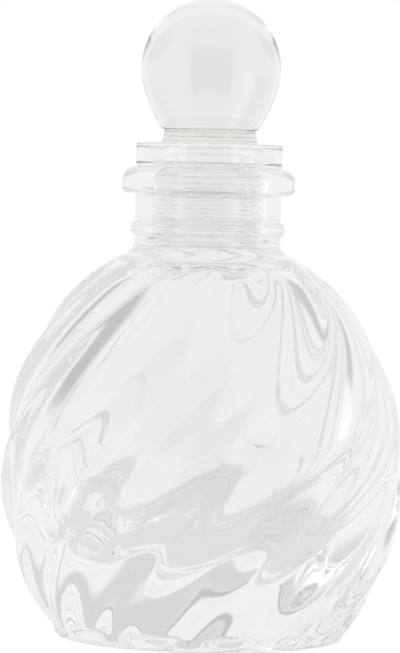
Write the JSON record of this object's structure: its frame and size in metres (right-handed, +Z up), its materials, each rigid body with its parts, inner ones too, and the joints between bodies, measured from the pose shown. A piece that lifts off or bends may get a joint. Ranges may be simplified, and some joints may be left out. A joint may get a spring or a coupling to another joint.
{
  "type": "stoppered carafe",
  "caption": "Small clear glass carafe with a globular swirl-fluted body, a ringed neck and a lift-out stopper: a hollow glass ball on a clear cap with a soft finned plug.",
  "frame": {"origin": "centre of the base, on the plane it stands on", "axes": "+Z up along the axis of the bottle, -Y towards the viewer of the picture"},
  "size_m": [0.0804, 0.0804, 0.1275],
  "materials": {
    "bottle_glass": "clear pressed glass, fire polished",
    "plug_plastic": "clear soft plastic, faintly cloudy",
    "cap_plastic": "clear moulded plastic",
    "cement": "cured clear cement, slightly cream",
    "ball_glass": "clear blown glass"
  },
  "bodies": {
    "bottle": {"bottle": "bottle_glass"},
    "stopper": {"seal_plug": "plug_plastic", "stopper_cap": "cap_plastic", "ball_cement": "cement", "ball_knob": "ball_glass"}
  },
  "joints": [
    {"name": "stopper_lift", "type": "slide", "parent": "bottle", "child": "stopper", "axis": [0, 0, 1], "range_m": [0, 0.06]}
  ]
}
